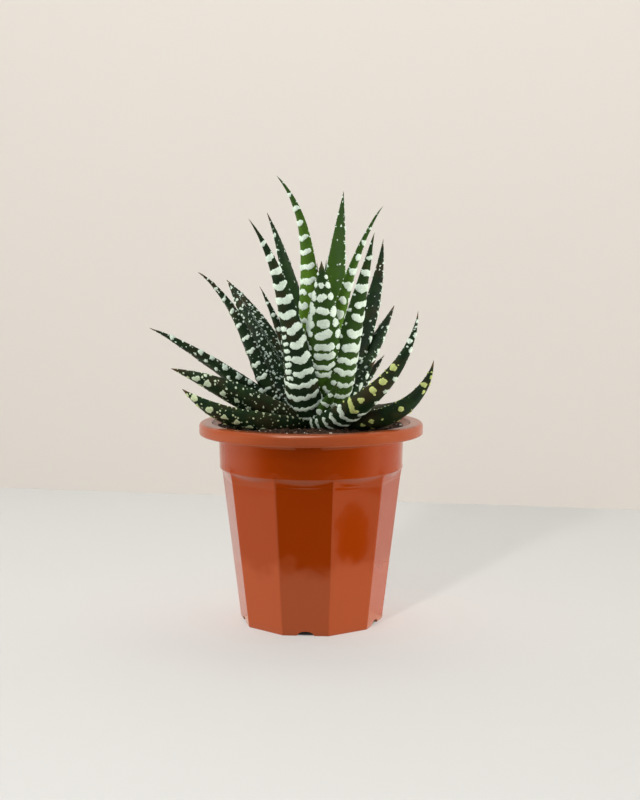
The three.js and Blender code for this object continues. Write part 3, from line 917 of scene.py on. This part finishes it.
def band_lumps(number, k, row, place, spacing, marks, margin):
    """Band `k` as one or two runs of lumps that grow into each other."""
    share = place / row[5]
    half = float(half_width(row, share))
    reach = margin * marks["reach"]
    if marks["bare"]:
        reach = reach * min(1, 0.5 + (place - marks["bare"]) / 24)
    low = -reach * (0.88 + 0.2 * scatter(number, k, 3))
    high = reach * (0.88 + 0.2 * scatter(number, k, 4))
    waver = 0.8 * (scatter(number, k, 5) - 0.5)
    runs = [(low, high, 0.5 * waver)]
    first, last = marks["parted"]
    if first < share < last:
        gap = 0.3 / half
        runs = []
        shift = marks["stagger"] * spacing + waver
        for i, place_across in enumerate(marks["keels"]):
            keel = margin * (place_across + 0.12 * (scatter(number, k, 7, i) - 0.5))
            runs.append((low, keel - gap, shift))
            low = keel + gap
            shift = -waver
        runs.append((low, high, shift))
    thick = (0.13 + 0.13 * min(1, share / 0.4)) * spacing
    thick = thick * marks["thick"] * (0.85 + 0.3 * scatter(number, k, 1))
    thick = min(thick * (1 - 0.2 * share), half * 0.75)
    lumps = []
    for part, (start, stop, shift) in enumerate(runs):
        if marks["beads"] and part < len(runs) - 1:
            lumps += bead_lumps(number, k, start, stop, place + shift, spacing, marks["beads"])
            continue
        span = (stop - start) * half
        radius = min(thick, max(span / 2, 0.3))
        count = max(1, round((span - 2 * radius) / (0.75 * radius)) + 1)
        phase = 6 * scatter(number, k, 6, part)
        for i in range(count):
            along_run = (i / (count - 1) if count > 1 else 0.5) * (span - 2 * radius) + radius
            way = start + along_run / half
            size = radius * (0.82 + 0.24 * scatter(number, k, i, part))
            wander = 0.3 * radius * math.sin(1.3 * i + phase)
            sweep = marks["sweep"] * (way / margin) ** 2 * min(1, half / 5)
            lumps.append((way, place + shift + sweep + wander, size))
    return lumps


def bead_lumps(number, k, start, stop, place, spacing, count):
    """Pairs of round lumps, side by side, in place of a band's first part."""
    lumps = []
    for i in range(count):
        along = place + spacing * ((i + 0.5) / count - 0.5 + 0.1 * (scatter(number, k, i, 71) - 0.5))
        for share in (0.68, 0.92):
            way = start + (stop - start) * (share + 0.1 * (scatter(number, k, i, 72) - 0.5))
            lumps.append((way, along + spacing * 0.2 * share, 0.9 + 0.4 * scatter(number, k, i, 73)))
    return lumps


def blob_lumps(number, k, row, place, spacing, marks, margin):
    """Round lumps in columns, each two or three tubercles grown together, with a few small ones."""
    half = float(half_width(row, place / row[5]))
    lumps = []
    for column, (across, radius, chance) in enumerate(marks["blobs"]):
        if scatter(number, k, column, 51) > chance * min(1, spacing / 4.5):
            continue
        way = margin * (across + 0.2 * (scatter(number, k, column, 52) - 0.5))
        at = place + spacing * (0.5 * column + 0.3 * (scatter(number, k, column, 53) - 0.5))
        for i in range(3):
            size = min(radius, 0.5 * half) * (0.6 + 0.4 * scatter(number, k, column, 54 + i))
            turn = 2.1 * i + 6 * scatter(number, k, column, 57)
            offset = 0.45 * radius
            lumps.append((way + offset * math.cos(turn) / half, at + offset * math.sin(turn), size))
    for i in range(2):
        way = margin * (1.8 * scatter(number, k, i, 61) - 0.9)
        size = 0.25 + 0.3 * scatter(number, k, i, 62)
        lumps.append((way, place + spacing * scatter(number, k, i, 63), size))
    return lumps


def tooth_lumps(number, length, margin):
    """Small white teeth along both margins."""
    lumps = []
    for side in (-1, 1):
        along = 3.0
        k = 0
        while along < length - 2:
            size = (0.32 + 0.3 * scatter(number, k, 41, side)) * (1 - 0.5 * along / length)
            lumps.append((side * margin, along, size))
            along += 2.3 + 2 * scatter(number, k, 42, side)
            k += 1
    return lumps


def lump_field(lumps, along, round_way, half):
    """How deep each point lies inside the white lumps, in millimetres; negative is outside."""
    total = np.full((len(along), len(round_way)), math.exp(BARE / LUMP_BLEND))
    pitch = along[1] - along[0]
    for way, place, radius in lumps:
        reach = radius + 1.2
        first = max(0, int((place - reach) / pitch))
        last = int((place + reach) / pitch) + 2
        near = slice(first, last)
        if first >= len(along):
            continue
        sideways = (round_way[None] - way) * half[near][:, None]
        depth = radius - np.hypot(sideways, (along[near] - place)[:, None])
        total[near] += np.exp(np.maximum(depth, BARE) / LUMP_BLEND)
    return LUMP_BLEND * np.log(total)


def build_leaf(number, row, material):
    """One leaf as a fine mesh, its white lumps raised and its marks stored for the material."""
    marks = {**PLAIN_MARKS, **MARKS.get(number, {})}
    pitch, outer_count, inner_count = FINE_MESH if number <= SHOWN_LEAVES else PLAIN_MESH
    length = row[5]
    along = np.linspace(0, length * 0.997, int(length / pitch))
    share = along / length
    across, outward, round_way, margin = section_columns(outer_count, inner_count)
    half = half_width(row, share)
    outer = half * (OUTER_DEPTH + OUTER_DEPTH_TIPWARD * share)
    inner = half * INNER_DEPTH + INNER_LEAST * np.minimum(1, (length - along) / 4)
    middle, direction, left, out = leaf_course(row, along)

    depth = np.where(outward[None] > 0, outer[:, None], inner[:, None]) * outward[None]
    sideways = across[None] * half[:, None]
    swell = np.sin(along * 0.35 + number)[:, None] * np.sin(across[None] * 3 + along[:, None] * 0.12)
    depth = depth + SKIN_TEXTURE * swell * outward[None]

    unrolled = round_way[None] * half[:, None]
    field = lump_field(leaf_lumps(number, row, marks, margin), along, round_way, half)
    field = field + LUMP_RAGGED * ripple(unrolled * 1.7, along[:, None] * 1.7, number)
    rounded = np.clip(field / LUMP_SHOULDER, 0, 1)
    near_margin = 1 + 0.5 * np.clip(1.5 - np.abs(np.abs(round_way) - margin) * 4, 0, 1)
    lift = RIDGE_HEIGHT * np.sqrt(1 - (1 - rounded) ** 2) * near_margin[None]
    lift = lift * np.minimum(1, half / 1.2)[:, None]
    facing_x = np.abs(across) ** 1.6 * np.sign(across)
    steep = np.hypot(facing_x, outward)
    sideways = sideways + lift * (facing_x / steep)[None]
    depth = depth + lift * (outward / steep)[None]

    points = middle[:, None] + left[:, None] * sideways[..., None] + out[:, None] * depth[..., None]
    ground = soil_height(points[..., 0], points[..., 1]) + 0.1
    over_pot = np.hypot(points[..., 0], points[..., 1]) < MOUTH_RADIUS
    points[..., 2] = np.where(over_pot, np.maximum(points[..., 2], ground), points[..., 2])

    flat = points.reshape(-1, 3)
    ends = np.stack([middle[0], leaf_course(row, np.array([float(length)]))[0][0]])
    faces = tube_faces(len(along), len(across), len(flat), len(flat) + 1)
    leaf = mesh_object(f"leaf_{number:02d}_skin", np.concatenate([flat, ends]) * MM, faces, material)

    level = np.zeros_like(unrolled)
    lengthwise = level + along[:, None]
    freshness = np.clip(marks["fresh"] * (1.25 - 0.85 * share[:, None]), 0, 1) + level
    mark_leaf(leaf, "leaf_place", unrolled, lengthwise, level + number * 31)
    left_yellow, right_yellow = marks["yellow"]
    first, last = marks["yellow_span"]
    yellowed = ((share > first) & (share < last))[:, None]
    yellow = np.where(across[None] < marks["keels"][0], left_yellow, right_yellow) * yellowed
    mark_leaf(leaf, "leaf_tone", freshness, yellow, level + marks["specks"])
    mark_leaf(leaf, "leaf_lump", field)
    mark_leaf(leaf, "leaf_to_tip", length - lengthwise)
    return belongs(leaf, "leaf", f"leaf_{number:02d}")


def mark_leaf(leaf, name, *grids):
    """Stores one value, or three together, at each point of a leaf for its material to read."""
    values = np.stack([grid.ravel() for grid in grids], 1)
    values = np.concatenate([values, values[:1], values[-1:]])
    kind, field = ("FLOAT", "value") if len(grids) == 1 else ("FLOAT_VECTOR", "vector")
    attribute = leaf.data.attributes.new(name, kind, "POINT")
    attribute.data.foreach_set(field, values.ravel())


# Studio


STAGE_SIDE = 3.0
STAGE_FRONT = -6.0
WALL_DISTANCE = 0.30
WALL_HEIGHT = 2.4
WALL_SWING = -11  # degrees from straight across the picture
FLOOR_COLOUR = (0.625, 0.633, 0.626)
WALL_COLOUR = (0.62, 0.586, 0.546)

# The card under the floor is a painted reflection: it glows, unseen by the camera, in the pot's gloss
# in place of the lit floor, with dark patches painted into it straight ahead and in an oval.
CARD_DEPTH = 0.0002  # below the floor, which hides the card from the camera
CARD_REACH = 0.2  # farther out the glow depends on the direction alone
CARD_EDGE = 0.006
CARD_COLOUR = (1, 0.88, 0.74)
CARD_STRENGTH = 0.85
AHEAD_FROM = 0.088  # where the dark opening straight ahead begins
AHEAD_LEFT = 0.036
AHEAD_RIGHT = 0.026
AHEAD_WAVE = (260, 0.004)  # turns a metre and depth of the wave in its near edge
OVAL_X = 0.119
OVAL_Y = -0.073
OVAL_TURN = math.radians(-24.13)
OVAL_LENGTH = 0.041
OVAL_WIDTH = 0.009


def glowing_card_material():
    """Glow of the lit floor in front, dark where the photographed pot mirrors something dark."""
    material, tree = new_material("glowing_card")
    place = add_node(tree, "SeparateXYZ", {}, object_place(tree))
    x, y = place["X"], place["Y"]

    pitch, depth = AHEAD_WAVE
    ahead = (x * pitch + 1).math("SINE") * depth - y - AHEAD_FROM
    left_room = ahead * 0.25 + x + AHEAD_LEFT
    right_room = ahead * 0.2 - x + AHEAD_RIGHT
    straight_ahead = ahead.rise(0, CARD_EDGE)
    for room in (left_room, right_room):
        straight_ahead = straight_ahead * room.rise(0, CARD_EDGE)

    cosine = math.cos(OVAL_TURN)
    sine = math.sin(OVAL_TURN)
    along = (x - OVAL_X) * (cosine / OVAL_LENGTH) + (y - OVAL_Y) * (sine / OVAL_LENGTH)
    across = (y - OVAL_Y) * (cosine / OVAL_WIDTH) - (x - OVAL_X) * (sine / OVAL_WIDTH)
    oval = 1.0 - (along * along + across * across).rise(0.8, 1.2)

    near = (1.0 - straight_ahead) * (1.0 - oval)
    away = (x * x + y * y) ** 0.5
    far = (y / away + 1.0).rise(0.3, 1.0)
    glow = near + (far - near) * away.rise(CARD_REACH, CARD_REACH + CARD_EDGE)
    colour = glow.pick((0, 0, 0), CARD_COLOUR)
    sockets = {"Emission_Color": colour, "Emission_Strength": CARD_STRENGTH}
    finish_material(tree, Base_Color=(0, 0, 0), **sockets)
    return material


def flat_piece(name, corners, material):
    """One plane of the studio through these corners."""
    return mesh_object(name, corners, [(0, 1, 2, 3)], material)


def build_stage():
    """Floor in two pieces and wall, swung round a little as in the photograph.

    The pot mirrors a glowing card under the floor in front of it, in place of that floor.
    """
    floor = stage_material("studio_floor", FLOOR_COLOUR, 0.75)
    wall = stage_material("studio_wall", WALL_COLOUR, 0.85)
    side = STAGE_SIDE
    swing = side * math.tan(math.radians(WALL_SWING))
    left_foot = (-side, WALL_DISTANCE - swing, 0)
    right_foot = (side, WALL_DISTANCE + swing, 0)
    left_top = (*left_foot[:2], WALL_HEIGHT)
    right_top = (*right_foot[:2], WALL_HEIGHT)
    front = [(-side, STAGE_FRONT, 0), (side, STAGE_FRONT, 0), (side, 0, 0), (-side, 0, 0)]
    card = [(x, y, -CARD_DEPTH) for x, y, _ in front]
    front = flat_piece("floor_front", front, floor)
    back = flat_piece("floor_back", [(-side, 0, 0), (side, 0, 0), right_foot, left_foot], floor)
    upper = flat_piece("wall_back", [left_foot, right_foot, right_top, left_top], wall)
    front.visible_glossy = False
    flat_piece("mirrored_card", card, glowing_card_material())
    return [front, back], [upper]


SOFT_WHITE = (1, 0.99, 0.98)
LAMP_WHITE = (1, 0.95, 0.9)
SHADOW_WHITE = (1, 0.97, 0.93)
WALL_WHITE = (1, 0.98, 0.955)
PANEL_WARM = (1, 0.93, 0.84)

# place, aim, width and height, watts and colour
PART_LAMPS = {
    "overhead_softbox": ((-0.3, -0.65, 1.7), (0, 0.05, 0.05), (1.1, 1.1), 24, SOFT_WHITE),
    "front_lamp": ((-0.50, -0.98, 0.85), (0, 0, 0.08), (0.26, 0.26), 3.5, LAMP_WHITE),
    "left_panel": ((-1.1, -0.15, 0.17), (0, 0, 0.12), (1.0, 0.3), 17, PANEL_WARM),
    "right_panel": ((1.1, -0.25, 0.17), (0, 0, 0.12), (0.6, 0.3), 20, PANEL_WARM),
}
ROOM_SOFTBOX = ((-0.3, -0.65, 1.7), (0, 0.05, 0.05), (1.1, 1.1), 27, SOFT_WHITE)
WALL_SOFTBOX = ((0, -1.5, 0.6), (0, 0.3, 0.2), (1.0, 1.0), 17, WALL_WHITE)
SHADOW_LAMP = ((-0.90, -1.78, 0.68), (0, 0, 0), (0.16, 0.16), 19, SHADOW_WHITE)
AIR_COLOUR = (1, 0.93, 0.82, 1)
AIR_STRENGTH = 0.22


def collected(name, pieces):
    """These pieces in a collection of their own, for a lamp to light or to be shaded by."""
    collection = bpy.data.collections.new(name)
    for piece in pieces:
        collection.objects.link(piece)
    return collection


def area_light(name, values, lit, shading=None):
    """A lamp for the pieces in `lit`, shaded by those in `shading` or by everything."""
    place, aim, size, power, colour = values
    data = bpy.data.lights.new(name, "AREA")
    data.shape = "RECTANGLE"
    data.size, data.size_y = size
    data.energy = power
    data.color = colour
    lamp = bpy.data.objects.new(name, data)
    lamp.location = place
    lamp.rotation_euler = (Vector(aim) - Vector(place)).to_track_quat("-Z", "Y").to_euler()
    lamp.light_linking.receiver_collection = lit
    if shading:
        lamp.light_linking.blocker_collection = shading
    bpy.context.collection.objects.link(lamp)
    return lamp


def build_lights(floor, wall, pot, part):
    """Lamps for the part, lamps for the room, and one that throws the pot's shadow on the floor."""
    whole_part = collected("whole_part", part)
    lamps = {name: area_light(name, values, whole_part) for name, values in PART_LAMPS.items()}
    room = collected("room", floor + wall)
    ground = collected("ground", floor)
    backdrop = collected("backdrop", wall)
    pot_alone = collected("pot_alone", [pot])
    unseen = [
        lamps["left_panel"],
        lamps["right_panel"],
        area_light("room_softbox", ROOM_SOFTBOX, room, room),
        area_light("wall_softbox", WALL_SOFTBOX, backdrop, room),
        area_light("shadow_lamp", SHADOW_LAMP, ground, pot_alone),
    ]
    for lamp in unseen:
        lamp.visible_glossy = False
    air = bpy.data.worlds.new("studio_air")
    air.use_nodes = True
    colour, strength = air.node_tree.nodes["Background"].inputs[:2]
    colour.default_value = AIR_COLOUR
    strength.default_value = AIR_STRENGTH
    bpy.context.scene.world = air


CAMERA_PLACE = (0.004, -0.561, 0.157)
CAMERA_DIP = 5.86  # degrees below level
CAMERA_LENS = 56.66  # millimetres, for a sensor 36 wide
CAMERA_SENSOR = 36


def build_camera():
    """Camera fitted to the photograph's view of the pot."""
    data = bpy.data.cameras.new("camera")
    data.sensor_width = CAMERA_SENSOR
    data.lens = CAMERA_LENS
    data.clip_start = 0.01
    camera = bpy.data.objects.new("camera", data)
    camera.location = CAMERA_PLACE
    camera.rotation_euler = (math.radians(90 - CAMERA_DIP), 0, 0)
    bpy.context.collection.objects.link(camera)
    bpy.context.scene.camera = camera


def dress_solids():
    """The stem and the roots are shown as the CAD solids, in fibres of their own."""
    bark = fibre_material("stem_fibre", (0.05, 0.03, 0.015), (0.22, 0.15, 0.08), 700)
    flesh = fibre_material("root_flesh", (0.30, 0.22, 0.12), (0.55, 0.45, 0.30), 500)
    solids = []
    for node, material in (("stem", bark), ("roots", flesh)):
        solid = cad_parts[node]
        solid.data.materials.clear()
        solid.data.materials.append(material)
        solids.append(solid)
    return solids


def main():
    build_camera()
    floor, wall = build_stage()
    pot = build_pot(pot_material())
    soil = soil_material()
    part = [
        pot,
        build_soil(soil),
        build_grains("soil_crumbs", SOIL_CRUMBS, (0.7, 1.6), soil, "soil", 7),
        build_grains("soil_grit", SOIL_GRIT, (0.5, 1.3), grit_material(), "soil", 11),
    ]
    skin = leaf_material()
    part += [build_leaf(number, row, skin) for number, row in enumerate(LEAVES, 1)]
    part += dress_solids()
    build_lights(floor, wall, pot, part)
    view = bpy.context.scene.view_settings
    view.view_transform = "Standard"
    view.look = "None"


main()
